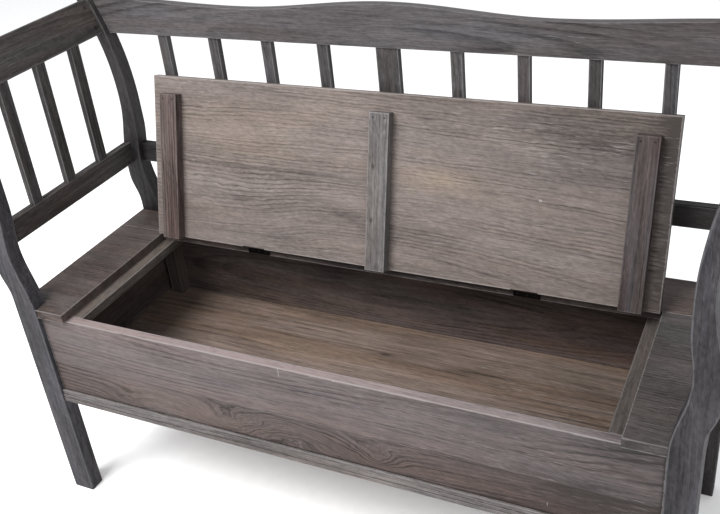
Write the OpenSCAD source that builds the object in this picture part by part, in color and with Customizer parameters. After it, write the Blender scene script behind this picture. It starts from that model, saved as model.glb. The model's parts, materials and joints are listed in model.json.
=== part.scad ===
// Storage bench with four curved corner posts, slatted arms and back, and a box seat
// under a hinged lid. Millimetres, +Z up, the front faces -Y. The origin is on the floor,
// in the middle of the footprint. The lid is drawn standing open against the back slats.

/* [Overall] */
// Width over the straight part of the legs
leg_span = 1210; // [1100:10:1400]
// Depth over the front and rear posts
bench_d = 426; // [416:1:446]
// Height of the seat's top face
seat_h = 450; // [446:1:454]
// Height of the corner posts
post_h = 910; // [905:1:915]

/* [Corner posts] */
// Width of the straight leg, left to right
leg_w = 46; // [42:1:50]
// Thickness of a post, front to back
post_d = 31; // [28:1:34]
// How far the inner face swings out at the knee, above the seat
knee_in = 21.5; // [18:0.5:24]
// How far the outer face swings out at the knee
knee_out = 14.3; // [12:0.1:16]
// How far the inner face stands out at the waist
waist_in = 13.3; // [12:0.1:15]
// How far the outer face draws in at the waist
waist_out = -6; // [-8:0.5:-4]
// Radius of the inner face where the post flares to its top
flare_r_in = 510; // [480:5:540]
// Radius of the outer face of the same flare
flare_r_out = 420; // [400:5:450]

/* [Arms] */
// Thickness of the lower arm rails
arm_rail_t = 15; // [14:1:18]
// Height of the lower arm rails
arm_rail_h = 45; // [40:1:50]
// Lean of the top arm boards away from the seat, in degrees
arm_lean = 22; // [18:1:24]
// Height of the top arm boards, along the lean
arm_board_h = 71; // [65:1:72]
// Width of an arm slat
arm_slat_w = 24; // [20:1:28]
// Thickness of an arm slat
arm_slat_t = 12; // [10:1:12]
// Distance between the middles of two arm slats
arm_slat_pitch = 95; // [85:1:97]

/* [Back] */
// Height of the lower back rail
back_rail_h = 40; // [36:1:44]
// Width of a back slat
back_slat_w = 21; // [18:1:26]
// Width of the middle back slat
centre_slat_w = 42; // [36:1:50]
// Thickness of the back slats
back_slat_t = 14; // [12:1:16]
// Clear gap between two back slats
back_slat_gap = 94; // [85:1:96]
// How far the crest rail's middle rises above its two dips
crest_rise = 17.7; // [10:0.1:18]

/* [Box and seat] */
// Thickness of the boards
board_t = 18; // [16:1:19]
// Height of the box's lower edge above the floor
box_z = 236; // [226:1:246]
// Thickness of the box's floor board
floor_t = 10; // [8:1:10]
// Width of the fixed seat board beside the lid
side_board_w = 108; // [100:1:115]
// How far the bearers stick out under the lid's ends
bearer_ledge = 23; // [18:1:25]
// Side of the square corner blocks
block_w = 28; // [20:1:30]
// Height of the moulding along the front panel
moulding_h = 26; // [22:1:30]

/* [Lid] */
// How far the lid stands open, in degrees
open_angle = 106.3; // [0:0.1:106.3]
// Gap all round the closed lid
lid_gap = 1.6; // [1.4:0.1:2]
// Width of a lid batten
batten_w = 38; // [30:1:40]
// Thickness of a lid batten
batten_t = 20; // [15:1:20]
// Distance from the bench's middle to an outer batten's middle
batten_x = 450; // [430:1:450]
// How far the centre batten sits right of the middle
centre_batten_x = -3; // [-6:1:6]

/* [Hinges] */
// Distance from the bench's middle to a hinge's middle
hinge_x = 270; // [200:5:320]
// Length of a hinge
hinge_l = 48; // [40:1:60]
// Thickness of a hinge leaf
leaf_t = 2.2; // [1.8:0.1:2.4]
// Radius of the hinge knuckles
knuckle_r = 3.6; // [3.4:0.1:4]
// Radius of the hinge pins
pin_r = 1.6; // [1.4:0.1:1.8]

/* [Hidden] */
$fn = 48;

far = 2000;             // longer than the bench in every direction
fit_gap = 0.05;         // radial clearance of pins, dowels, nails and screws

// Posts: heights of the bends, and where the faces are
post_in = leg_span / 2 - leg_w;
post_out = leg_span / 2;
front_y = -bench_d / 2;
rear_y = bench_d / 2;
post_rear_y = front_y + post_d;      // rear face of the front posts
post_front_y = rear_y - post_d;      // front face of the rear posts
inner_bend_z = seat_h - 10;
inner_knee_z = seat_h + 116;
inner_waist_z = seat_h + 200;
inner_flare_z = seat_h + 240;
outer_bend_z = seat_h + 20;
outer_knee_z = seat_h + 80;
outer_turn_z = seat_h + 110;
outer_waist_z = seat_h + 250;
outer_flare_z = seat_h + 258;
curve_step = 10;

// Seat and box
under_seat_z = seat_h - board_t;
panel_setback = 9;
front_panel_y = front_y + panel_setback;
box_front_y = front_panel_y + board_t;
back_panel_setback = 4;
box_rear_y = rear_y - back_panel_setback - board_t;
side_panel_x = (post_in + post_out - board_t) / 2;   // inner face of a side panel
floor_z = box_z + 9;                                  // underside of the box's floor
groove = 6;                                           // depth of the floor's groove
seat_edge = 1;                                        // seat boards behind the posts' face
well_x = post_out - side_board_w;                     // half-width of the lid's opening

// Lid, closed, and its hinge line
hinge_y = front_y + 320;
batten_l = 287;                                       // a batten, from the hinge line forwards
lid_clear = 0.4;                                      // clearance over the bearers
lid_t = board_t - lid_clear;
lid_front_y = front_y + seat_edge;
lid_rear_y = hinge_y - lid_gap / 2;
lid_x = well_x - lid_gap;
batten_front_y = hinge_y - batten_l;
batten_z = under_seat_z + lid_clear - batten_t;
strip_y = hinge_y + lid_gap / 2;                      // front edge of the rear seat board

// Hinges: five knuckles, the first, third and fifth on the fixed leaf
leaf_gap = 0.8;
leaf_h = 15.5;
leaf_clear = 0.5;                                     // room round a leaf or knuckle in wood
knuckles = 5;
knuckle_l = hinge_l / knuckles;
knuckle_gap = 0.4;
hinge_screw_dx = 16;
hinge_screw_z = seat_h - 10.5;
screw_r = 1.5;
screw_head_r = 3.1;
screw_head_h = 1.8;
hinge_screw_l = 14;
pin_stub = 0.6;                                       // pin past the last knuckle, each end
pin_head_l = 1.2;

// Arms
arm_rail_x = post_in + 38;
arm_rail_z = seat_h + 112.5;
arm_board_x = post_in + 37.5;
arm_board_z = seat_h + 391.2;
tenon_l = 8;
tenon_side = 3;                                       // shoulder each side of a slat's tenon
tenon_t = 6;

// Back
back_y = rear_y - board_t;
back_rail_z = seat_h + 111;
crest_z = seat_h + 386;
crest_dip_z = seat_h + 443.3;
crest_dip_x = 290;
crest_end_rise = 10;
crest_end_x = crest_dip_x + 300;
slat_y = back_y + (board_t - back_slat_t) / 2;
first_slat_x = centre_slat_w / 2 + back_slat_gap + back_slat_w / 2;
slat_pitch = back_slat_gap + back_slat_w;

// Dowels
dowel_r = 4;
dowel_l = 32;
thin_post_shift = 4;                                  // more of the dowel is in the rail

// Batten nails: a pair side by side near each batten's free end
nail_y = 278;                                         // distance from the hinge line
nail_dx = 11;
nail_l = 30;
nail_r = 0.9;
nail_head_r = 1.4;
nail_head_h = 0.9;
nail_sunk = 0.5;

POST = [0.29, 0.28, 0.29];
RAIL = [0.34, 0.32, 0.32];
SEAT = [0.43, 0.40, 0.38];
LID = [0.54, 0.49, 0.46];
FLOOR = [0.40, 0.33, 0.28];
DOWEL = [0.72, 0.60, 0.44];
STEEL = [0.20, 0.19, 0.18];

function ease(a, b, t) = a + (b - a) * (1 - cos(180 * t)) / 2;
function part_way(z, z0, z1) = (z - z0) / (z1 - z0);
function arc_rise(r, dz) = r - sqrt(r * r - dz * dz);

// Distance of a post's inner face from the bench's middle, at a height
function inner_x(z) =
    z < inner_bend_z ? post_in
    : z < inner_knee_z
        ? ease(post_in, post_in + knee_in, part_way(z, inner_bend_z, inner_knee_z))
    : z < inner_waist_z
        ? ease(post_in + knee_in, post_in + waist_in,
               part_way(z, inner_knee_z, inner_waist_z))
    : z < inner_flare_z ? post_in + waist_in
    : post_in + waist_in + arc_rise(flare_r_in, z - inner_flare_z);

// Distance of its outer face
function outer_x(z) =
    z < outer_bend_z ? post_out
    : z < outer_knee_z
        ? ease(post_out, post_out + knee_out, part_way(z, outer_bend_z, outer_knee_z))
    : z < outer_turn_z ? post_out + knee_out
    : z < outer_waist_z
        ? ease(post_out + knee_out, post_out + waist_out,
               part_way(z, outer_turn_z, outer_waist_z))
    : z < outer_flare_z ? post_out + waist_out
    : post_out + waist_out + arc_rise(flare_r_out, z - outer_flare_z);

function middle_x(z) = (inner_x(z) + outer_x(z)) / 2;

// Height of the crest rail's top edge
function crest_top(x) =
    abs(x) < crest_dip_x
        ? crest_dip_z + crest_rise * (1 + cos(180 * x / crest_dip_x)) / 2
        : ease(crest_dip_z, crest_dip_z + crest_end_rise,
               part_way(abs(x), crest_dip_x, crest_end_x));

module side(left) {
    if (left) mirror([1, 0, 0]) children();
    else children();
}

module block(x0, x1, y0, y1, z0, z1) {
    translate([x0, y0, z0]) cube([x1 - x0, y1 - y0, z1 - z0]);
}

// An outline in X and Z, from y0 to y1
module upright(y0, y1) {
    translate([0, y1, 0]) rotate([90, 0, 0]) linear_extrude(y1 - y0) children();
}

module rod_x(x0, x1, y, z, r) {
    translate([x0, y, z]) rotate([0, 90, 0]) cylinder(h = x1 - x0, r = r);
}

module rod_y(x, y0, y1, z, r) {
    translate([x, y0, z]) rotate([-90, 0, 0]) cylinder(h = y1 - y0, r = r);
}

// ---- dowels, all for the right-hand side ----
box_dowel_zs = [box_z + 36, box_z + 96, box_z + 156];
side_dowel_rise = 20;       // keeps the side panels' dowels clear of the long panels'
function arm_board_point(up, across) = [
    arm_board_x + up * sin(arm_lean) + across * cos(arm_lean),
    arm_board_z + up * cos(arm_lean) - across * sin(arm_lean)
];

module arm_dowels(r) {
    for (y = [post_rear_y, post_front_y]) {
        for (z = [arm_rail_z + 11, arm_rail_z + arm_rail_h - 11])
            rod_y(arm_rail_x + arm_rail_t / 2, y - dowel_l / 2, y + dowel_l / 2, z, r);
        for (up = [18, arm_board_h - 18]) {
            p = arm_board_point(up, board_t / 2);
            rod_y(p[0], y - dowel_l / 2, y + dowel_l / 2, p[1], r);
        }
    }
}

module back_dowels(r) {
    for (z = [back_rail_z + 10, back_rail_z + back_rail_h - 10, crest_z + 16, crest_z + 46]) {
        x = inner_x(z) - thin_post_shift;
        rod_x(x - dowel_l / 2, x + dowel_l / 2, back_y + board_t / 2, z, r);
    }
}

module box_dowels(r) {
    for (z = box_dowel_zs) {
        for (y = [front_panel_y + board_t / 2, box_rear_y + board_t / 2])
            rod_x(post_in - dowel_l / 2, post_in + dowel_l / 2, y, z, r);
        for (y = [post_rear_y, post_front_y])
            rod_y(side_panel_x + board_t / 2, y - dowel_l / 2, y + dowel_l / 2,
                  z + side_dowel_rise, r);
    }
}

module frame_dowels() {
    color(DOWEL) for (left = [false, true]) side(left) {
        arm_dowels(dowel_r);
        back_dowels(dowel_r);
        box_dowels(dowel_r);
    }
}

// ---- posts ----
module post_outline() {
    zs = concat([0], [for (z = [inner_bend_z : curve_step : post_h - 1]) z], [post_h]);
    n = len(zs) - 1;
    polygon(concat([for (z = zs) [inner_x(z), z]],
                   [for (i = [n : -1 : 0]) [outer_x(zs[i]), zs[i]]]));
}

module post_blank(y0) {
    upright(y0, y0 + post_d) post_outline();
}

module front_post(left) {
    color(POST) side(left) difference() {
        post_blank(front_y);
        arm_dowels(dowel_r + fit_gap);
        box_dowels(dowel_r + fit_gap);
    }
}

module rear_post(left) {
    color(POST) side(left) difference() {
        post_blank(post_front_y);
        arm_dowels(dowel_r + fit_gap);
        back_dowels(dowel_r + fit_gap);
        box_dowels(dowel_r + fit_gap);
    }
}

// ---- arms ----
function arm_slat_y(i) = (i - 1) * arm_slat_pitch;

module arm_board_blank() {
    upright(post_rear_y, post_front_y) polygon([
        arm_board_point(0, 0), arm_board_point(arm_board_h, 0),
        arm_board_point(arm_board_h, board_t), arm_board_point(0, board_t)
    ]);
}

// Everything above the lower edge of the leaning board, where the slats end
module above_arm_board() {
    reach = 30;
    upright(front_y, rear_y) polygon([
        arm_board_point(0, -reach), arm_board_point(reach, -reach),
        arm_board_point(reach, board_t + reach), arm_board_point(0, board_t + reach)
    ]);
}

module arm_tenons(grow) {
    x = arm_rail_x + (arm_slat_t - tenon_t) / 2;
    for (i = [0 : 2]) {
        y0 = arm_slat_y(i) - arm_slat_w / 2 + tenon_side;
        y1 = arm_slat_y(i) + arm_slat_w / 2 - tenon_side;
        block(x - grow, x + tenon_t + grow, y0 - grow, y1 + grow,
              arm_rail_z + arm_rail_h - tenon_l, arm_board_z + tenon_l);
    }
}

module arm_board(left) {
    color(RAIL) side(left) difference() {
        arm_board_blank();
        arm_tenons(fit_gap);
        arm_dowels(dowel_r + fit_gap);
    }
}

module arm_rail(left) {
    color(RAIL) side(left) difference() {
        block(arm_rail_x, arm_rail_x + arm_rail_t, post_rear_y, post_front_y,
              arm_rail_z, arm_rail_z + arm_rail_h);
        arm_tenons(fit_gap);
        arm_dowels(dowel_r + fit_gap);
    }
}

module arm_slat(left, i) {
    y0 = arm_slat_y(i) - arm_slat_w / 2;
    y1 = arm_slat_y(i) + arm_slat_w / 2;
    color(POST) side(left) {
        difference() {
            block(arm_rail_x, arm_rail_x + arm_slat_t, y0, y1,
                  arm_rail_z + arm_rail_h, arm_board_z + tenon_l);
            above_arm_board();
        }
        intersection() {
            arm_tenons(0);
            block(0, far, y0, y1, 0, post_h);
        }
    }
}

// ---- back ----
module slat_tenons(x, w, grow) {
    block(x - w / 2 + tenon_side - grow, x + w / 2 - tenon_side + grow,
          slat_y + (back_slat_t - tenon_t) / 2 - grow,
          slat_y + (back_slat_t + tenon_t) / 2 + grow,
          back_rail_z + back_rail_h - tenon_l, crest_z + tenon_l);
}

module back_slat_tenons(grow) {
    slat_tenons(0, centre_slat_w, grow);
    for (i = [0 : 3], s = [-1, 1])
        slat_tenons(s * (first_slat_x + i * slat_pitch), back_slat_w, grow);
}

module rail_between_posts() {
    difference() {
        children();
        for (left = [false, true]) side(left) {
            post_blank(post_front_y);
            back_dowels(dowel_r + fit_gap);
        }
        back_slat_tenons(fit_gap);
    }
}

module crest_rail() {
    end_x = middle_x(crest_dip_z);
    steps = 60;
    color(RAIL) rail_between_posts() upright(back_y, rear_y) polygon(concat(
        [[middle_x(crest_z), crest_z], [-middle_x(crest_z), crest_z]],
        [for (i = [0 : steps]) let (x = -end_x + i * 2 * end_x / steps) [x, crest_top(x)]]
    ));
}

module back_lower_rail() {
    x = middle_x(back_rail_z + back_rail_h);
    color(RAIL) rail_between_posts()
        block(-x, x, back_y, rear_y, back_rail_z, back_rail_z + back_rail_h);
}

module back_slat(x, w) {
    color(POST) {
        block(x - w / 2, x + w / 2, slat_y, slat_y + back_slat_t,
              back_rail_z + back_rail_h, crest_z);
        slat_tenons(x, w, 0);
    }
}

// Slats 1 to 4 are left of the middle and 5 to 8 right of it, counted left to right
function back_slat_x(i) = i < 5 ? -(first_slat_x + (4 - i) * slat_pitch)
                                : first_slat_x + (i - 5) * slat_pitch;

// ---- box ----
module floor_outline(z0, z1) {
    difference() {
        block(-side_panel_x - groove, side_panel_x + groove,
              box_front_y - groove, box_rear_y + groove, z0, z1);
        for (left = [false, true]) side(left) {
            block(post_in, far, front_y, post_rear_y, 0, post_h);
            block(post_in, far, post_front_y, rear_y, 0, post_h);
        }
    }
}

module box_floor() {
    color(FLOOR) floor_outline(floor_z, floor_z + floor_t);
}

module long_panel(y0) {
    difference() {
        block(-post_in, post_in, y0, y0 + board_t, box_z, under_seat_z);
        floor_outline(floor_z, floor_z + floor_t);
        for (left = [false, true]) side(left) box_dowels(dowel_r + fit_gap);
    }
}

module front_panel() {
    color(SEAT) long_panel(front_panel_y);
}

module back_panel() {
    color(SEAT) long_panel(box_rear_y);
}

module side_panel(left) {
    color(SEAT) side(left) difference() {
        block(side_panel_x, side_panel_x + board_t, post_rear_y, post_front_y,
              box_z, under_seat_z);
        floor_outline(floor_z, floor_z + floor_t);
        box_dowels(dowel_r + fit_gap);
    }
}

// Three flat bands parted by two narrow quirks, the top one thinner
module front_moulding() {
    band = 5.5;           // how far each part of the profile stands off the panel
    quirk = 2.5;
    lip = 4;
    quirk_h = 3.2;        // height of a quirk at its mouth, and at its bottom
    quirk_bottom_h = 1.4;
    lower_quirk_z = moulding_h * 0.36;
    upper_quirk_z = moulding_h * 0.70;
    color(SEAT) translate([-post_in, front_panel_y, box_z]) rotate([90, 0, 90])
        linear_extrude(2 * post_in) difference() {
            polygon([
                [0, 0], [-band, 0], [-band, upper_quirk_z], [-lip, upper_quirk_z],
                [-lip, moulding_h - 1], [1 - lip, moulding_h], [0, moulding_h]
            ]);
            for (z = [lower_quirk_z, upper_quirk_z])
                translate([0, z]) polygon([
                    [-far, -quirk_h / 2], [-band, -quirk_h / 2], [-quirk, -quirk_bottom_h / 2],
                    [-quirk, quirk_bottom_h / 2], [-band, quirk_h / 2], [-far, quirk_h / 2]
                ]);
        }
}

module corner_block(left, front) {
    y0 = front ? box_front_y : box_rear_y - block_w;
    color(FLOOR) side(left) block(post_in - block_w, post_in, y0, y0 + block_w,
                                  floor_z + floor_t, under_seat_z - board_t);
}

module bearer(left) {
    color(SEAT) side(left) difference() {
        block(well_x - bearer_ledge, side_panel_x, box_front_y, box_rear_y,
              under_seat_z - board_t, under_seat_z);
        block(post_in, far, front_y, post_rear_y, 0, post_h);
        block(post_in, far, post_front_y, rear_y, 0, post_h);
    }
}

module seat_board(left) {
    color(SEAT) side(left) difference() {
        block(well_x, post_out, lid_front_y, strip_y, under_seat_z, seat_h);
        block(post_in, far, front_y, post_rear_y, 0, seat_h + 1);
    }
}

// ---- hinges ----
function knuckle_x(i) = -hinge_l / 2 + i * knuckle_l;

module knuckle_set(first, r, grow) {
    for (i = [first : 2 : knuckles - 1])
        rod_x(knuckle_x(i) + knuckle_gap / 2 - grow, knuckle_x(i + 1) - knuckle_gap / 2 + grow,
              0, 0, r);
}

// A leaf in its own frame: the pin is on the X axis and the plate hangs below it, behind it
// for the fixed leaf. The lid's leaf is its mirror image with the other knuckles.
module leaf(first) {
    difference() {
        union() {
            block(-hinge_l / 2, hinge_l / 2, leaf_gap / 2, leaf_gap / 2 + leaf_t,
                  -leaf_h - 1, 0);
            knuckle_set(first, knuckle_r, 0);
        }
        knuckle_set(1 - first, knuckle_r + leaf_clear, knuckle_gap);
        rod_x(-hinge_l, hinge_l, 0, 0, pin_r + fit_gap);
        leaf_screws(fit_gap);
    }
}

module leaf_screws(grow) {
    for (x = [-hinge_screw_dx, 0, hinge_screw_dx])
        translate([x, leaf_gap / 2, hinge_screw_z - seat_h]) rotate([-90, 0, 0]) {
            cylinder(h = screw_head_h, r1 = screw_head_r + grow, r2 = screw_r + grow);
            cylinder(h = hinge_screw_l, r = screw_r + grow);
        }
}

// What a hinge needs cut out of the wood round it
module hinge_recess() {
    bore_x = hinge_l / 2 + pin_stub + pin_head_l + leaf_clear;
    rod_x(-bore_x, bore_x, 0, 0, knuckle_r + leaf_clear);
    block(-hinge_l / 2, hinge_l / 2, 0, leaf_gap / 2 + leaf_t, -board_t - 1, 0);
    leaf_screws(fit_gap);
}

module at_hinge(left) {
    translate([left ? -hinge_x : hinge_x, hinge_y, seat_h]) children();
}

module fixed_leaf(left) {
    color(STEEL) at_hinge(left) leaf(0);
}

module hinge_pin(left) {
    end_x = hinge_l / 2 + pin_stub;
    color(STEEL) at_hinge(left) {
        rod_x(-end_x, end_x, 0, 0, pin_r);
        for (x = [-end_x - pin_head_l, end_x])
            rod_x(x, x + pin_head_l, 0, 0, pin_r + 0.9);
    }
}

module hinge_frame_screws() {
    color(STEEL) for (left = [false, true]) at_hinge(left) leaf_screws(0);
}

module rear_seat_board() {
    color(SEAT) difference() {
        block(-post_out, post_out, strip_y, rear_y, under_seat_z, seat_h);
        for (left = [false, true]) {
            side(left) block(post_in, far, post_front_y, rear_y + 1, 0, seat_h + 1);
            at_hinge(left) hinge_recess();
        }
    }
}

// ---- lid, drawn closed and swung open about the hinge line ----
module opened() {
    translate([0, hinge_y, seat_h]) rotate([-open_angle, 0, 0])
        translate([0, -hinge_y, -seat_h]) children();
}

module at_nails() {
    for (x = [-batten_x, centre_batten_x, batten_x], dx = [-nail_dx, nail_dx])
        translate([x + dx, hinge_y - nail_y, batten_z]) children();
}

module nail_holes() {
    at_nails() {
        cylinder(h = nail_sunk + nail_head_h + fit_gap, r = nail_head_r + fit_gap);
        cylinder(h = nail_l + fit_gap, r = nail_r + fit_gap);
    }
}

module lid_panel() {
    color(LID) opened() difference() {
        block(-lid_x, lid_x, lid_front_y, lid_rear_y, seat_h - lid_t, seat_h);
        for (left = [false, true]) at_hinge(left) mirror([0, 1, 0]) hinge_recess();
        nail_holes();
    }
}

module batten(x) {
    color(LID) opened() difference() {
        block(x - batten_w / 2, x + batten_w / 2, batten_front_y, lid_rear_y,
              batten_z, batten_z + batten_t);
        nail_holes();
    }
}

module batten_nails() {
    color(STEEL) opened() at_nails() translate([0, 0, nail_sunk]) {
        cylinder(h = nail_head_h, r = nail_head_r);
        cylinder(h = nail_l - nail_sunk, r = nail_r);
    }
}

module lid_leaf(left) {
    color(STEEL) opened() at_hinge(left) mirror([0, 1, 0]) leaf(1);
}

module hinge_lid_screws() {
    color(STEEL) opened() for (left = [false, true])
        at_hinge(left) mirror([0, 1, 0]) leaf_screws(0);
}

front_post(true);  // front_left_post
front_post(false);  // front_right_post
rear_post(true);  // rear_left_post
rear_post(false);  // rear_right_post
arm_board(true);  // left_arm_board
arm_board(false);  // right_arm_board
arm_rail(true);  // left_arm_rail
arm_rail(false);  // right_arm_rail
arm_slat(true, 0);  // left_arm_slat_1
arm_slat(true, 1);  // left_arm_slat_2
arm_slat(true, 2);  // left_arm_slat_3
arm_slat(false, 0);  // right_arm_slat_1
arm_slat(false, 1);  // right_arm_slat_2
arm_slat(false, 2);  // right_arm_slat_3
crest_rail();
back_lower_rail();
back_slat(0, centre_slat_w);  // back_centre_slat
back_slat(back_slat_x(1), back_slat_w);  // back_slat_1
back_slat(back_slat_x(2), back_slat_w);  // back_slat_2
back_slat(back_slat_x(3), back_slat_w);  // back_slat_3
back_slat(back_slat_x(4), back_slat_w);  // back_slat_4
back_slat(back_slat_x(5), back_slat_w);  // back_slat_5
back_slat(back_slat_x(6), back_slat_w);  // back_slat_6
back_slat(back_slat_x(7), back_slat_w);  // back_slat_7
back_slat(back_slat_x(8), back_slat_w);  // back_slat_8
front_panel();
back_panel();
side_panel(true);  // left_side_panel
side_panel(false);  // right_side_panel
box_floor();
front_moulding();
corner_block(true, true);  // front_left_block
corner_block(false, true);  // front_right_block
corner_block(true, false);  // rear_left_block
corner_block(false, false);  // rear_right_block
bearer(true);  // left_bearer
bearer(false);  // right_bearer
seat_board(true);  // left_seat_board
seat_board(false);  // right_seat_board
rear_seat_board();
frame_dowels();
lid_panel();
batten(-batten_x);  // left_batten
batten(centre_batten_x);  // centre_batten
batten(batten_x);  // right_batten
batten_nails();
fixed_leaf(true);  // left_hinge_fixed_leaf
fixed_leaf(false);  // right_hinge_fixed_leaf
hinge_pin(true);  // left_hinge_pin
hinge_pin(false);  // right_hinge_pin
lid_leaf(true);  // left_hinge_lid_leaf
lid_leaf(false);  // right_hinge_lid_leaf
hinge_frame_screws();
hinge_lid_screws();
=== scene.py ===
"""Storage bench: stained boards with eased, rubbed edges, dark hinges and small nails."""
import json
import math

import bmesh
import bpy
from mathutils import Matrix, Vector


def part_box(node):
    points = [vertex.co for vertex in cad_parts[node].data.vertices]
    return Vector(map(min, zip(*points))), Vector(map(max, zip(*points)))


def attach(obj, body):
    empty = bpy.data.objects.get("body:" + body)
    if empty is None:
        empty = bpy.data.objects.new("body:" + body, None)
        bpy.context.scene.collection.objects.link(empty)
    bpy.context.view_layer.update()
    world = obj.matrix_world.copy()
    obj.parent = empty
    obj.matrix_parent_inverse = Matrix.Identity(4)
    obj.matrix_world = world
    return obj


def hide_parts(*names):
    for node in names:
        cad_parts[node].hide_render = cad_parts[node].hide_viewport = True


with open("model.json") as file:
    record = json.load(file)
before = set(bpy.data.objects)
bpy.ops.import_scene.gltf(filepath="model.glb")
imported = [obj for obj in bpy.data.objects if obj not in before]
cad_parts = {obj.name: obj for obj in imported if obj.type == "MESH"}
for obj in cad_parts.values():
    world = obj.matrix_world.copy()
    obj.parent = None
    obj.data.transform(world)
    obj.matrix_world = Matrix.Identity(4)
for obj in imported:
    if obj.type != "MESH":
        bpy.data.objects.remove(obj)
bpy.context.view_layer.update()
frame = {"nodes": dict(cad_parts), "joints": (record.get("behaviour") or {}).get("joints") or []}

MM = 0.001
lid_joint = frame["joints"][0]
hinge_line = Vector(lid_joint["pos_m"])
open_turn = math.radians(lid_joint["range_deg"][1])


# ---- shader nodes written as expressions ----

class Value:
    """A socket that Python's operators turn into Math nodes."""

    def __init__(self, finish, socket):
        self.finish, self.socket = finish, socket

    def _math(self, operation, first, second):
        return self.finish.node("ShaderNodeMath", {"operation": operation}, {0: first, 1: second})

    def __add__(self, other):
        return self._math("ADD", self, other)

    def __radd__(self, other):
        return self._math("ADD", other, self)

    def __sub__(self, other):
        return self._math("SUBTRACT", self, other)

    def __rsub__(self, other):
        return self._math("SUBTRACT", other, self)

    def __mul__(self, other):
        return self._math("MULTIPLY", self, other)

    def __rmul__(self, other):
        return self._math("MULTIPLY", other, self)

    def __truediv__(self, other):
        return self._math("DIVIDE", self, other)

    def __rtruediv__(self, other):
        return self._math("DIVIDE", other, self)

    def __pow__(self, other):
        return self._math("POWER", self, other)

    def __rpow__(self, other):
        return self._math("POWER", other, self)


class Finish:
    """One material's node tree, with a method for each node the finishes need."""

    def __init__(self, name):
        self.material = bpy.data.materials.new(name)
        self.material.use_nodes = True
        self.tree = self.material.node_tree
        self.tree.nodes.clear()

    def node(self, kind, settings=None, inputs=None, output=0):
        made = self.tree.nodes.new(kind)
        for key, value in (settings or {}).items():
            if key == "stops":
                set_stops(made.color_ramp, value)
            else:
                setattr(made, key, value)
        for key, value in (inputs or {}).items():
            if isinstance(value, Value):
                self.tree.links.new(value.socket, made.inputs[key])
            else:
                made.inputs[key].default_value = value
        return Value(self, made.outputs[output])

    def vector(self, x, y, z):
        return self.node("ShaderNodeCombineXYZ", None, {0: x, 1: y, 2: z})

    def noise(self, vector, detail=2.0, roughness=0.5):
        return self.node("ShaderNodeTexNoise", {"noise_dimensions": "3D"}, {
            "Vector": vector, "Scale": 1.0, "Detail": detail, "Roughness": roughness,
        })

    def noise_in_space(self, per_metre, detail):
        """Noise on Object coordinates, with how often it changes per metre of x, y and z."""
        place = self.parts(self.node("ShaderNodeTexCoord", None, None, "Object"))
        return self.noise(self.vector(*(v * rate for v, rate in zip(place, per_metre))), detail)

    def rise(self, value, low, high):
        """0 below low, 1 above high and a smooth step between them."""
        return self.node("ShaderNodeMapRange", {"interpolation_type": "SMOOTHSTEP"}, {
            "Value": value, "From Min": low, "From Max": high,
        })

    def fract(self, value):
        return self.node("ShaderNodeMath", {"operation": "FRACT"}, {0: value})

    def size(self, value):
        return self.node("ShaderNodeMath", {"operation": "ABSOLUTE"}, {0: value})

    def falloff(self, value):
        return self.node("ShaderNodeMath", {"operation": "EXPONENT"}, {0: value * -1.0})

    def above(self, value, edge):
        return self.node("ShaderNodeMath", {"operation": "GREATER_THAN"}, {0: value, 1: edge})

    def spot(self, x, y, length, width):
        """1 at the origin, fading out over a length and a width."""
        return self.falloff((x / length) ** 2.0 + (y / width) ** 2.0)

    def parts(self, vector):
        """The three numbers of a vector."""
        split = self.node("ShaderNodeSeparateXYZ", None, {0: vector}).socket.node
        return [Value(self, output) for output in split.outputs]

    def kept(self, name, output="Fac"):
        """A number or a vector stored on the piece's own vertices."""
        return self.node("ShaderNodeAttribute", {"attribute_name": name}, None, output)

    def ramp(self, value, stops):
        return self.node("ShaderNodeValToRGB", {"stops": stops}, {0: value})

    def mix(self, factor, under, over, blend="MIX"):
        made = self.node("ShaderNodeMix", {"data_type": "RGBA", "blend_type": blend}, None, 2)
        node = made.socket.node
        for index, value in ((0, factor), (6, under), (7, over)):
            if isinstance(value, Value):
                self.tree.links.new(value.socket, node.inputs[index])
            elif index == 0:
                node.inputs[index].default_value = value
            else:
                node.inputs[index].default_value = (*value, 1.0)
        return made

    def shader(self, colour, roughness, height, strength, depth, **fixed):
        bump = self.node("ShaderNodeBump", None, {
            "Height": height, "Strength": strength, "Distance": depth,
        })
        inputs = {"Base Color": colour, "Roughness": roughness, "Normal": bump}
        inputs.update({key.replace("_", " "): value for key, value in fixed.items()})
        surface = self.node("ShaderNodeBsdfPrincipled", None, inputs)
        result = self.tree.nodes.new("ShaderNodeOutputMaterial")
        self.tree.links.new(surface.socket, result.inputs["Surface"])
        return self.material


def set_stops(ramp, stops):
    while len(ramp.elements) < len(stops):
        ramp.elements.new(0.5)
    for element, (place, colour) in zip(ramp.elements, stops):
        element.position = place
        element.color = (*colour, 1.0)


# ---- wood ----

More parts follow.
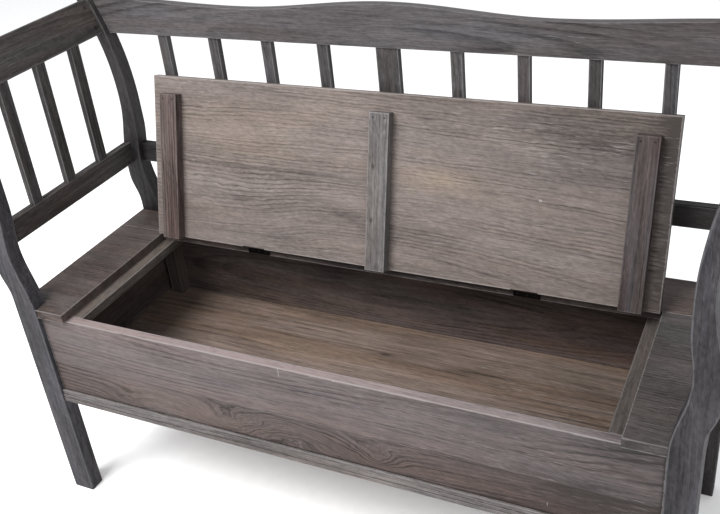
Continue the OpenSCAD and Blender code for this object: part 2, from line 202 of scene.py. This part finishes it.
PLAIN = {
    "figure": (0.0, -0.03, 0.05),   # ring centre: along the board, across it, and its depth
    "stretch": 0.10,                # how fast the rings close along the board
    "pitch": 0.0060,                # distance between two rings
    "rings": 0.32,                  # strength of the ring lines
    "bend": 0.035,                  # slow wander of the grain
    "waves": 0.005,                 # quick waviness of the grain
    "ripple": 0.0016,               # short ripples
    "fibre": 0.75,                  # strength of the fibres, hairs, streaks, blotches, mottling
    "hair": 0.5,
    "streak": 0.35,
    "blotch": 0.8,
    "mottle": 0.45,
    "flecks": 0.40,                 # strength of the light flecks and the dark pores
    "pores": 0.50,
    "hue": 0.6,                     # strength of the warm and cool streaks
    "rub": 0.6,                     # strength of the rubbed edges
    "spread": 0.16,                 # difference from board to board
    "joints": (),                   # glue lines: (across, change of tone above it)
    "knots": (),                    # (along, across, size, lift of the grain)
    "curl": 0.05,                   # waviness of the grain around a knot
    "shades": (),                   # (along, across, length, width, change of tone)
    "tints": (),                    # (along, across, length, width, strength, colour)
    "scratches": (),                # (along, across, half length, half width)
    "roughness": 0.55,
    "gloss": 0.15,
    "seed": 0.0,
}


# Tones of a stain
DARKER, LIGHTER = 0.30, 1.95        # darkest and lightest wood, as shares of the middle colour
PALE_SHARE = 0.6                    # how far rubbed wood loses the stain's hue
DARK_AT, MIDDLE_AT, LIGHT_AT = 0.08, 0.47, 0.92     # where the three colours lie on the tone

# Noise of the wood: changes per metre along and across a board, a shift that parts one pattern
# from the next, detail and roughness
PATTERNS = {
    "wander": (1.7, 7.0, 0.0, 1.0, 0.5),
    "waves": (14.0, 42.0, 3.0, 2.0, 0.5),
    "ripple": (75.0, 150.0, 7.0, 1.0, 0.5),
    "fibre": (14.0, 420.0, 11.0, 3.0, 0.65),
    "hair": (70.0, 1900.0, 13.0, 1.0, 0.5),
    "streak": (7.0, 130.0, 19.0, 2.0, 0.5),
    "blotch": (4.0, 13.0, 17.0, 3.0, 0.6),
    "mottle": (90.0, 150.0, 27.0, 3.0, 0.65),
    "warm": (2.3, 21.0, 5.0, 2.0, 0.5),
    "cool": (1.9, 17.0, 9.0, 2.0, 0.5),
    "pore": (30.0, 700.0, 23.0, 1.0, 0.5),
    "fleck": (40.0, 650.0, 41.0, 1.0, 0.5),
    "patch": (5.0, 12.0, 31.0, 1.0, 0.5),
    "chips": (45.0, 140.0, 51.0, 3.0, 0.65),
}
MASKS = {                           # where a mask made from a pattern starts and is full
    "warm": (0.42, 0.64), "cool": (0.45, 0.66), "pore": (0.60, 0.72), "fleck": (0.60, 0.72),
    "patch": (0.42, 0.62),
}
MEAN = 0.5                          # middle value of a noise or of a board's draw
SKEW_AB, SKEW_AC, SKEW_BC, SKEW_CB = 0.37, 0.23, 0.29, 0.31     # lean of the noise's axes

# What sets one board apart from the next
SHIFT_ALONG, SHIFT_ACROSS, SHIFT_THROUGH = 3.1, 0.73, 0.91      # metres per board number
GLUED_STEP = 0.413                  # change of the board number above a glue line
CENTRE_DRAW, TONE_DRAW, PHASE_DRAW = 5.3, 7.31, 17.0    # turn a board number into its draws
CENTRE_SPREAD = 0.08                # metres over which the ring centres are spread

# Growth rings, with 0 and 1 where a ring starts and ends
LATE_DARKENS, LATE_ENDS = (0.40, 0.88), (0.90, 1.0)
RING_MEAN = 0.2
VIGOUR_PER_RING, VIGOUR_ALONG, VIGOUR_MASK = 0.37, 2.9, (0.34, 0.66)    # strong or faint rings
KNOT_LENGTH = 1.8                   # length of a knot's bend over its width

GLUE_LINE, GLUE_DARKNESS = (0.0003, 0.0012), 0.5        # metres from the line, strength
RAGGED_PER_METRE, RAGGED_DEPTH = 300.0, 0.9             # outline of a scratch
SCRATCH_FADE, SCRATCH_MASK, SCRATCH_STRENGTH = 0.6, (0.35, 0.75), 0.75
CHIPPING, WORN_MASK = 1.2, (0.66, 1.0)                  # ragged wear of an edge
FIBRE_ROUGHNESS, RING_ROUGHNESS = 0.25, 0.06
FIBRE_RELIEF, HAIR_RELIEF, RING_RELIEF, PORE_RELIEF = 0.6, 0.25, 0.35, 0.5
WOOD_BUMP = (0.4, 0.0006)           # strength, and depth in metres


def stain(red, green, blue, warm=(1.0, 0.89, 0.82), cool=(0.89, 0.95, 1.01), rubbed=2.4):
    """The tones of a stain, worked out from its middle colour."""
    middle = (red, green, blue)
    pale = sum(middle) / 3 * rubbed
    return {
        "dark": tuple(v * DARKER for v in middle), "middle": middle,
        "light": tuple(v * LIGHTER for v in middle), "warm": warm, "cool": cool,
        "rubbed": tuple(PALE_SHARE * pale + (1 - PALE_SHARE) * v * rubbed for v in middle),
    }


class Grain:
    """Noise drawn out along a board, on axes skewed so that no band runs square across it."""

    def __init__(self, finish, a, b, c):
        self.finish, self.a, self.b, self.c = finish, a, b, c

    def pattern(self, name):
        along, across, shift, detail, roughness = PATTERNS[name]
        b, c = self.b * across, self.c * across
        vector = self.finish.vector(self.a * along + b * SKEW_AB + c * SKEW_AC + shift,
                                    b - c * SKEW_BC, c + b * SKEW_CB + shift)
        return self.finish.noise(vector, detail, roughness)

    def swing(self, name):
        """A pattern that is as often above 0 as below it."""
        return self.pattern(name) - MEAN

    def mask(self, name):
        return self.finish.rise(self.pattern(name), *MASKS[name])


def growth_rings(f, look, board, grain, a, bent, c):
    """The late wood of the rings: 0 in early wood, up to 1 where a strong ring is darkest."""
    centre_a, centre_b, depth = look["figure"]
    run = (a - centre_a) * look["stretch"]
    side = bent - centre_b + (f.fract(board * CENTRE_DRAW) - MEAN) * CENTRE_SPREAD
    down = c + depth
    distance = (run * run + side * side + down * down) ** 0.5
    phase = distance / look["pitch"] + board * PHASE_DRAW
    part = f.fract(phase)
    late = f.rise(part, *LATE_DARKENS) * (1.0 - f.rise(part, *LATE_ENDS))
    place = f.vector(phase * VIGOUR_PER_RING, grain.a * VIGOUR_ALONG, board)
    return late * f.rise(f.noise(place, 1.0), *VIGOUR_MASK)


def stained_wood(name, tones, **changes):
    """Open-grained softwood under a thin stain: rings, fibres, blotches, flecks and rub."""
    look = {**PLAIN, **changes}
    f = Finish(name)
    a, b, c = f.parts(f.kept("grain", "Vector"))
    board = f.kept("board") + look["seed"]
    shift = 0.0
    for place, change in look["joints"]:
        over = f.above(b, place)
        board = board + over * GLUED_STEP
        shift = over * change + shift
    for shade_a, shade_b, length, width, change in look["shades"]:
        shift = f.spot(a - shade_a, b - shade_b, length, width) * change + shift

    plain = Grain(f, a + board * SHIFT_ALONG, b + board * SHIFT_ACROSS,
                  c + board * SHIFT_THROUGH)
    waves = plain.swing("waves")
    bent = (b + plain.swing("wander") * look["bend"] + waves * look["waves"]
            + plain.swing("ripple") * look["ripple"])
    for knot_a, knot_b, size, lift in look["knots"]:
        near = f.spot(a - knot_a, b - knot_b, size * KNOT_LENGTH, size)
        bent = bent + near * (waves * look["curl"] + lift)
    grain = Grain(f, plain.a, bent + board * SHIFT_ACROSS, plain.c)

    rings = growth_rings(f, look, board, grain, a, bent, c)
    fibre, hair = grain.pattern("fibre"), grain.pattern("hair")
    own_tone = f.fract(board * TONE_DRAW) - MEAN
    tone = (MIDDLE_AT + (fibre - MEAN) * look["fibre"] + (hair - MEAN) * look["hair"]
            + grain.swing("streak") * look["streak"] + plain.swing("blotch") * look["blotch"]
            + plain.swing("mottle") * look["mottle"] - (rings - RING_MEAN) * look["rings"]
            + own_tone * look["spread"] + shift)
    dark, rubbed = tones["dark"], tones["rubbed"]
    colour = f.ramp(tone, [(DARK_AT, dark), (MIDDLE_AT, tones["middle"]),
                           (LIGHT_AT, tones["light"])])
    for hue in ("warm", "cool"):
        colour = f.mix(grain.mask(hue) * look["hue"], colour, tones[hue], "MULTIPLY")
    for tint_a, tint_b, length, width, strength, tint in look["tints"]:
        colour = f.mix(f.spot(a - tint_a, b - tint_b, length, width) * strength, colour, tint,
                       "MULTIPLY")

    pore = grain.mask("pore")
    colour = f.mix(pore * look["pores"], colour, dark)
    flecks = grain.mask("fleck") * plain.mask("patch")
    colour = f.mix(flecks * look["flecks"], colour, rubbed)
    for place, _ in look["joints"]:
        line = 1.0 - f.rise(f.size(b - place), *GLUE_LINE)
        colour = f.mix(line * GLUE_DARKNESS, colour, dark)
    for mark_a, mark_b, half_a, half_b in look["scratches"]:
        outline = f.noise(f.vector(a * RAGGED_PER_METRE, b * RAGGED_PER_METRE, 0.0))
        inside = (f.rise(half_a - f.size(a - mark_a), 0.0, half_a * SCRATCH_FADE)
                  * f.rise(half_b - f.size(b - mark_b), 0.0, half_b * SCRATCH_FADE))
        scratch = f.rise(inside + (outline - MEAN) * RAGGED_DEPTH, *SCRATCH_MASK)
        colour = f.mix(scratch * SCRATCH_STRENGTH, colour, rubbed)
    worn = f.rise(f.kept("edge") + plain.swing("chips") * CHIPPING, *WORN_MASK)
    colour = f.mix(worn * look["rub"], colour, rubbed)

    roughness = look["roughness"] + (fibre - MEAN) * FIBRE_ROUGHNESS + rings * RING_ROUGHNESS
    height = (fibre * FIBRE_RELIEF + hair * HAIR_RELIEF - rings * RING_RELIEF
              - pore * PORE_RELIEF)
    return f.shader(colour, roughness, height, *WOOD_BUMP, Specular_IOR_Level=look["gloss"])


POST = stain(0.029, 0.0275, 0.0315, warm=(1.0, 0.90, 0.84), cool=(0.84, 0.94, 1.10), rubbed=3.6)
REAR_POST = stain(0.021, 0.019, 0.019, warm=(1.0, 0.90, 0.84), rubbed=3.6)
ARM = stain(0.043, 0.0375, 0.036, warm=(1.0, 0.90, 0.82), rubbed=3.0)
LOW_RAIL = stain(0.023, 0.021, 0.021, rubbed=3.0)
SLAT = stain(0.046, 0.0425, 0.0435, rubbed=3.0)
CREST = stain(0.052, 0.047, 0.048, rubbed=2.8)
BACK = stain(0.055, 0.043, 0.039)
FRONT = stain(0.074, 0.0605, 0.0585, warm=(1.0, 0.92, 0.87), rubbed=2.9)
MOULDING = stain(0.082, 0.074, 0.072, rubbed=2.6)
SEAT = stain(0.060, 0.047, 0.043, rubbed=2.8)
# darker stain of the right seat board, with painted shade from the right arm and post
DARK_SEAT_AND_PAINTED_SHADE = stain(0.034, 0.030, 0.029, warm=(1.0, 0.94, 0.90), rubbed=4.0)
BEARER = stain(0.068, 0.058, 0.052)
DARK_BEARER = stain(0.047, 0.039, 0.035)
LID = stain(0.113, 0.0935, 0.086, warm=(1.0, 0.94, 0.87), cool=(0.92, 0.97, 0.99))
BATTEN = stain(0.060, 0.047, 0.043, warm=(1.0, 0.84, 0.80), cool=(0.84, 0.92, 0.98))
DARK_BATTEN = stain(0.048, 0.0375, 0.036, warm=(1.0, 0.74, 0.70), cool=(0.78, 0.92, 1.02))
GREY_BATTEN = stain(0.110, 0.101, 0.098, warm=(1.0, 0.95, 0.92), cool=(0.90, 0.96, 1.06))
FLOOR = stain(0.130, 0.099, 0.083, warm=(1.0, 0.88, 0.74), cool=(0.92, 0.94, 0.95))


def steel(name, colour, roughness):
    """Dark metal with faint brushing and a little dulling."""
    f = Finish(name)
    brushed = f.noise_in_space(per_metre=(60.0, 2200.0, 2200.0), detail=2.0)
    dull_patches = f.noise_in_space(per_metre=(170.0, 170.0, 170.0), detail=3.0)
    dulled = f.rise(dull_patches, low=0.45, high=0.70)
    darker, lighter = (tuple(v * share for v in colour) for share in (0.6, 1.5))
    base = f.ramp(brushed * 0.7 + dulled * 0.3, [(0.25, darker), (0.75, lighter)])
    return f.shader(base, roughness + dulled * 0.25, brushed, strength=0.15, depth=0.0002,
                    Metallic=0.9)


def bare_beech(name):
    """Plain pale beech with short dark dashes."""
    f = Finish(name)
    soft = f.noise_in_space(per_metre=(40.0, 40.0, 400.0), detail=3.0)
    dashes = f.noise_in_space(per_metre=(300.0, 900.0, 900.0), detail=1.0)
    dash = f.rise(dashes, low=0.62, high=0.72)
    brown, cream = (0.22, 0.14, 0.07), (0.46, 0.33, 0.20)
    base = f.ramp(soft - dash * 0.3, [(0.2, brown), (0.7, cream)])
    return f.shader(base, 0.6 + dash * 0.1, soft, strength=0.2, depth=0.0003)


def floor_paint():
    """Plain pale floor with a barely visible grain."""
    f = Finish("pale_floor")
    speckle = f.noise_in_space(per_metre=(40.0, 40.0, 40.0), detail=3.0)
    base = f.ramp(speckle, [(0.3, (0.90, 0.90, 0.895)), (0.7, (0.93, 0.93, 0.93))])
    return f.shader(base, 0.8 + speckle * 0.1, speckle, strength=0.05, depth=0.001)


# ---- shaping the boards ----

WELD = 0.002 * MM                   # vertices closer than this become one
FLAT = math.radians(0.25)           # faces that meet at less than this become one
SHARP = math.radians(30)            # edges that turn more than this may be eased
CREASE = math.radians(35)           # edges that turn more than this are shaded sharp
HOLE_SPAN = 100 * MM                # sharp edges that span less than this rim a hole
SHORTEST = 60 * MM                  # edges shorter than this stay sharp
RADIUS = 1.2 * MM                   # rounding of an eased edge
BAND = 3 * MM                       # strip beside an eased edge over which its wear fades
NUMBER_STEP = 0.618                 # spreads the board numbers between 0 and 1


def merged(node):
    """A bmesh of a CAD node with its loose triangles joined into flat faces."""
    shape = bmesh.new()
    shape.from_mesh(frame["nodes"][node].data)
    bmesh.ops.remove_doubles(shape, verts=shape.verts, dist=WELD)
    bmesh.ops.dissolve_limit(shape, angle_limit=FLAT, verts=shape.verts, edges=shape.edges)
    return shape


def outer_edges(shape, shortest):
    """Sharp edges of the outside, without the rims of holes and mortises."""
    waiting = {e for e in shape.edges if len(e.link_faces) == 2 and e.calc_face_angle() > SHARP}
    chosen = []
    while waiting:
        chain, front = [], [waiting.pop()]
        while front:
            edge = front.pop()
            chain.append(edge)
            joined = {e for v in edge.verts for e in v.link_edges if e in waiting}
            waiting -= joined
            front.extend(joined)
        points = [v.co for e in chain for v in e.verts]
        span = max(max(p[i] for p in points) - min(p[i] for p in points) for i in range(3))
        if span > HOLE_SPAN:
            chosen += [e for e in chain if e.calc_length() >= shortest]
    return chosen


def ease_edges(shape, shortest, radius, band):
    """Rounds the outer edges, and stores how near each vertex is to one of them."""
    eased = bmesh.ops.bevel(
        shape, geom=outer_edges(shape, shortest), offset=radius, offset_type="OFFSET",
        segments=2, profile=0.5, affect="EDGES", clamp_overlap=True, material=-1,
    )["faces"]
    rounded = set(eased)
    flats = [f for f in shape.faces if f not in rounded]
    bmesh.ops.inset_region(shape, faces=flats, thickness=band, use_boundary=True,
                           use_even_offset=True)
    near = shape.verts.layers.float.new("edge")
    for face in eased:
        for vertex in face.verts:
            vertex[near] = 1.0


def grain_axes(low, high, along):
    """Unit vectors along a board, across it and through its thickness."""
    size, first = high - low, "xyz".index(along)
    others = sorted((i for i in range(3) if i != first), key=lambda i: -size[i])
    return [Vector(float(i == axis) for i in range(3)) for axis in (first, *others)]


def finished(shape, node, body, material, axes, origin):
    """Turns a bmesh into the piece that stands for a CAD node."""
    number = (sorted(frame["nodes"]).index(node) * NUMBER_STEP) % 1.0
    number_layer = shape.verts.layers.float.new("board")
    grain_layer = shape.verts.layers.float_vector.new("grain")
    for vertex in shape.verts:
        vertex[number_layer] = number
        vertex[grain_layer] = [axis.dot(vertex.co - origin) for axis in axes]
    mesh = bpy.data.meshes.new(node + "_board")
    shape.to_mesh(mesh)
    shape.free()
    mesh.materials.append(material)
    mesh.shade_smooth()
    mesh.set_sharp_from_angle(angle=CREASE)
    piece = bpy.data.objects.new(node + "_board", mesh)
    bpy.context.scene.collection.objects.link(piece)
    even = piece.modifiers.new("even_shading", "WEIGHTED_NORMAL")
    even.keep_sharp = True
    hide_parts(node)
    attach(piece, body)


def board(node, along, material, slot, shortest=SHORTEST, radius=RADIUS, band=BAND):
    """A board of the fixed frame, with its grain measured from its own middle."""
    low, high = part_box(node)
    shape = merged(node)
    ease_edges(shape, shortest, radius, band)
    finished(shape, node, "frame", material, grain_axes(low, high, along), (low + high) / 2)


def lid_board(node, along, material, shortest=SHORTEST):
    """A board of the open lid, with its grain measured from the hinge line."""
    up = Matrix.Rotation(-open_turn, 3, "X")
    axes = [Vector((1, 0, 0)), up @ Vector((0, -1, 0)), up @ Vector((0, 0, 1))]
    if along == "y":
        axes[0], axes[1] = axes[1], axes[0]
    shape = merged(node)
    ease_edges(shape, shortest, RADIUS, BAND)
    finished(shape, node, "lid", material, axes, hinge_line)


# ---- finishes of this bench ----

post_look = {"rings": 0.15, "pitch": 0.008, "streak": 0.8, "blotch": 1.3, "mottle": 0.9,
             "rub": 0.45}
post_stain = stained_wood("post_stain", POST, **post_look)
rear_post_stain = stained_wood("rear_post_stain", REAR_POST, **post_look)
slat_stain = stained_wood("slat_stain", SLAT, rings=0.25, mottle=0.6)
arm_stain = stained_wood(
    "arm_stain", ARM, rings=0.25, pitch=0.008, mottle=0.5, rub=0.5,
    shades=(
        (0.168, 0.022, 0.003, 0.003, -0.5),         # two filled nail heads
        (0.168, -0.018, 0.003, 0.003, -0.5),
        (0.0, 0.0, 0.2, 0.0015, 0.2),
    ),
)
low_rail_stain = stained_wood("low_rail_stain", LOW_RAIL, rings=0.2)
crest_stain_and_painted_shade = stained_wood("crest_stain_and_painted_shade", CREST, rings=0.30, pitch=0.008, blotch=0.6,
                           # painted shade: the right end darker where the light falls off
                           shades=((0.5, 0.0, 0.25, 1.0, -0.04),))

seat_look = {"figure": (0.0, 0.12, 0.03), "pitch": 0.005, "mottle": 0.5}
seat_stain = stained_wood("seat_stain", SEAT, **seat_look)
# the right seat board: a darker stain with painted shade
right_seat_stain_and_painted_shade = stained_wood("right_seat_stain_and_painted_shade", DARK_SEAT_AND_PAINTED_SHADE, **seat_look)
bearer_stain = stained_wood("bearer_stain", BEARER)
right_bearer_stain = stained_wood("right_bearer_stain", DARK_BEARER)
block_stain = stained_wood("block_stain", BACK)
back_look = {"blotch": 1.1, "hue": 0.9}
back_stain = stained_wood("back_stain", BACK, **back_look)
back_panel_stain_and_painted_light = stained_wood(
    "back_panel_stain_and_painted_light", BACK, **back_look,
    # painted light: the panel lighter towards the box floor
    shades=((0.20, -0.085, 0.35, 0.035, 0.26),),
    # painted light: the panel warmer towards the box floor
    tints=((0.25, -0.07, 0.35, 0.06, 0.8, (1.08, 0.97, 0.92)),),
)
floor_stain_and_painted_shade = stained_wood(
    "floor_stain_and_painted_shade", FLOOR, figure=(0.0, -0.30, 0.03), stretch=0.03, pitch=0.015, rings=0.22,
    bend=0.02, waves=0.003, ripple=0.0006, mottle=0.15, blotch=0.7, streak=0.45,
    joints=((-0.10, 0.05), (0.01, -0.06), (0.10, 0.04)),
    shades=(
        # painted shade: the right end darker where less light falls
        (0.50, 0.0, 0.25, 0.5, -0.12),
        (-0.009, 0.094, 0.01, 0.004, -0.3),         # two small dark marks
        (0.185, 0.092, 0.05, 0.003, -0.3),
    ),
)
front_stain_and_painted_shade = stained_wood(
    "front_stain_and_painted_shade", FRONT, pitch=0.0080, rings=0.28, blotch=0.55, hue=0.5, mottle=0.3,
    figure=(-0.1, 0.10, 0.05), joints=((-0.006, 0.10),),
    knots=(                                         # swirls in the lower board
        (-0.171, -0.042, 0.030, 0.030),
        (-0.390, -0.060, 0.026, 0.026),
        (0.103, -0.045, 0.028, 0.028),
        (-0.05, -0.050, 0.040, -0.030),
    ),
    shades=(
        (0.0, -0.06, 3.0, 0.055, -0.12),            # darker lower board
        (0.0, 0.098, 3.0, 0.0016, 0.35),            # lighter upper edge
        (0.55, 0.0, 0.27, 0.5, -0.28),              # painted shade: darker right end, where the light falls off
        (-0.25, -0.045, 0.14, 0.03, 0.14),
        (0.0, -0.0715, 3.0, 0.0016, -0.7),          # painted shade in the seam over the moulding
        (-0.559, 0.0, 0.003, 1.0, -0.6),            # painted shade in the recesses beside the posts
        (0.559, 0.0, 0.003, 1.0, -0.6),
    ),
    tints=(
        (0.0, -0.06, 3.0, 0.05, 0.9, (1.0, 0.90, 0.82)),
        (0.40, -0.06, 0.30, 0.05, 0.6, (1.0, 0.92, 0.95)),
        # lighter upper edge
        (-0.1, 0.098, 0.6, 0.0016, 1.0, (1.38, 1.37, 1.38)),
    ),
    scratches=(
        (-0.054, 0.089, 0.0012, 0.014),
        (0.048, 0.096, 0.004, 0.002),
        (0.393, -0.053, 0.0009, 0.0045),
    ),
)
moulding_stain = stained_wood("moulding_stain", MOULDING, rings=0.2, streak=0.8, spread=0.0)

lid_stain_and_painted_shade = stained_wood(
    "lid_stain_and_painted_shade", LID, fibre=0.55, streak=0.15, blotch=0.6, figure=(-0.25, -0.03, 0.02),
    pitch=0.0064, rings=0.24, waves=0.009, ripple=0.0024, pores=0.35, hue=0.4, rub=0.35,
    curl=0.0,
    knots=(                                         # arches near the hinge line
        (-0.47, 0.06, 0.07, 0.035),
        (-0.28, 0.075, 0.07, 0.028),
    ),
    shades=(
        (-0.23, 0.160, 0.20, 0.004, -0.28),         # dark lines along the grain
        (-0.25, 0.148, 0.17, 0.003, -0.14),
        (-0.28, 0.03, 0.12, 0.004, -0.12),
        (-0.25, 0.125, 0.20, 0.012, 0.07),
        (-0.300, 0.099, 0.025, 0.008, -0.20),       # small dark patches
        (-0.073, 0.092, 0.030, 0.008, -0.18),
        (0.108, 0.178, 0.060, 0.022, 0.12),         # pale patch
        (0.373, 0.271, 0.12, 0.03, -0.12),
        (0.25, 0.29, 0.35, 0.09, -0.12),            # painted shade: the right side darker where the light falls off
        # painted shade: more of the right side darker
        (0.40, 0.15, 0.16, 0.5, -0.06),
        (0.495, 0.15, 0.028, 1.0, -0.42),           # dark strip beyond the right batten: darker wood and the batten's painted shadow
    ),
    tints=(
        (0.108, 0.178, 0.06, 0.022, 0.8, (1.0, 0.97, 0.84)),
        (-0.30, 0.20, 0.12, 0.05, 0.6, (1.0, 0.97, 0.88)),
    ),
    scratches=((0.286, 0.162, 0.004, 0.003),),
)
batten_look = {"rub": 0.35, "figure": (0.0, 0.3, 0.03)}
left_batten_stain = stained_wood(
    "left_batten_stain", BATTEN, **batten_look, seed=0.3, rings=0.4, streak=0.9, hue=0.9,
    shades=((0.185, -0.461, 0.03, 0.008, 0.25),),
)
centre_batten_stain = stained_wood(
    "centre_batten_stain", GREY_BATTEN, **batten_look, fibre=0.5, rings=0.15, pores=0.3,
    blotch=0.7,
    shades=(
        (0.192, -0.011, 0.005, 0.003, -0.35),       # two small knots
        (0.095, -0.011, 0.004, 0.0025, -0.35),
        (0.0, -0.003, 0.10, 0.03, -0.10),
    ),
)
right_batten_stain = stained_wood("right_batten_stain", DARK_BATTEN, **batten_look, seed=0.7,
                                  rings=0.3, streak=0.9, hue=1.0)

dowel_beech = bare_beech("dowel_beech")
hinge_metal = steel("bronzed_steel", (0.016, 0.014, 0.013), roughness=0.45)
screw_metal = steel("dark_screw_steel", (0.030, 0.028, 0.027), roughness=0.42)
nail_metal = steel("dark_nail_steel", (0.020, 0.018, 0.017), roughness=0.55)


# ---- boards of the bench ----

for row, stained in (("front", post_stain), ("rear", rear_post_stain)):
    for side in ("left", "right"):
        board(f"{row}_{side}_post", "z", stained, "post_wood", shortest=5 * MM, radius=1.6 * MM)
        board(f"{row}_{side}_block", "z", block_stain, "floor_wood", radius=1.0 * MM)
for side, seat_finish, bearer_finish in (("left", seat_stain, bearer_stain),
                                         ("right", right_seat_stain_and_painted_shade, right_bearer_stain)):
    board(f"{side}_arm_board", "y", arm_stain, "rail_wood", radius=1.6 * MM)
    board(f"{side}_arm_rail", "y", arm_stain, "rail_wood", radius=1.4 * MM)
    for number in (1, 2, 3):
        board(f"{side}_arm_slat_{number}", "z", slat_stain, "post_wood")
    board(f"{side}_side_panel", "y", back_stain, "seat_wood", radius=1.0 * MM)
    board(f"{side}_bearer", "y", bearer_finish, "seat_wood")
    board(f"{side}_seat_board", "x", seat_finish, "seat_wood")
for number in range(1, 9):
    board(f"back_slat_{number}", "z", slat_stain, "post_wood")
board("back_centre_slat", "z", slat_stain, "post_wood")
board("back_lower_rail", "x", low_rail_stain, "rail_wood")
board("crest_rail", "x", crest_stain_and_painted_shade, "rail_wood", shortest=15 * MM, radius=1.6 * MM)
board("front_panel", "x", front_stain_and_painted_shade, "seat_wood")
board("front_moulding", "x", moulding_stain, "seat_wood", radius=0.35 * MM, band=0.5 * MM)
board("back_panel", "x", back_panel_stain_and_painted_light, "seat_wood")
board("box_floor", "x", floor_stain_and_painted_shade, "floor_wood")
board("rear_seat_board", "x", seat_stain, "seat_wood")
lid_board("lid_panel", "x", lid_stain_and_painted_shade)
lid_board("left_batten", "y", left_batten_stain, shortest=30 * MM)
lid_board("centre_batten", "y", centre_batten_stain, shortest=30 * MM)
lid_board("right_batten", "y", right_batten_stain, shortest=30 * MM)

fittings = {                        # nodes that keep the CAD's shape, by how their names end
    "hinge_fixed_leaf": hinge_metal, "hinge_pin": hinge_metal, "hinge_lid_leaf": hinge_metal,
    "screws": screw_metal, "nails": nail_metal, "dowels": dowel_beech,
}
for node, part in frame["nodes"].items():
    for ending, material in fittings.items():
        if node.endswith(ending):
            part.data.materials.clear()
            part.data.materials.append(material)


# ---- floor, light and camera ----

MIDDLE = Vector((0, 0, 0.5))        # middle of the bench
FLOOR_SIZE = 20.0
SKY = (0.97, 0.98, 1.0, 1.0)


def pale_floor():
    shape = bmesh.new()
    bmesh.ops.create_grid(shape, x_segments=4, y_segments=4, size=FLOOR_SIZE)
    mesh = bpy.data.meshes.new("studio_floor")
    shape.to_mesh(mesh)
    shape.free()
    mesh.materials.append(floor_paint())
    ground = bpy.data.objects.new("studio_floor", mesh)
    bpy.context.scene.collection.objects.link(ground)


def soft_light(name, place, size, power):
    """A round lamp that points at the middle of the bench."""
    light = bpy.data.lights.new(name, "AREA")
    light.shape = "DISK"
    light.size = size
    light.energy = power
    lamp = bpy.data.objects.new(name, light)
    lamp.location = place
    lamp.rotation_euler = (MIDDLE - Vector(place)).to_track_quat("-Z", "Y").to_euler()
    bpy.context.scene.collection.objects.link(lamp)


def daylight(strength):
    world = bpy.data.worlds.new("studio")
    world.use_nodes = True
    background = world.node_tree.nodes["Background"]
    background.inputs["Color"].default_value = SKY
    background.inputs["Strength"].default_value = strength
    bpy.context.scene.world = world


def camera(place, turn, dip, roll, lens):
    """A camera that looks along +Y, then is turned left, dipped and rolled, all in radians."""
    lens_data = bpy.data.cameras.new("camera")
    lens_data.lens = lens
    eye = bpy.data.objects.new("camera", lens_data)
    eye.matrix_world = (Matrix.Translation(place) @ Matrix.Rotation(turn, 4, "Z")
                        @ Matrix.Rotation(math.pi / 2 - dip, 4, "X")
                        @ Matrix.Rotation(roll, 4, "Z"))
    bpy.context.scene.collection.objects.link(eye)
    bpy.context.scene.camera = eye


pale_floor()
daylight(strength=0.85)
soft_light("key_light", place=(-1.1, -2.0, 3.5), size=2.2, power=235)
soft_light("fill_light", place=(2.6, -2.2, 2.4), size=2.4, power=35)
camera(place=(0.66313, -1.21107, 1.34689), turn=0.4942, dip=0.5331, roll=-0.1109, lens=46.836)
bpy.context.scene.view_settings.view_transform = "Standard"
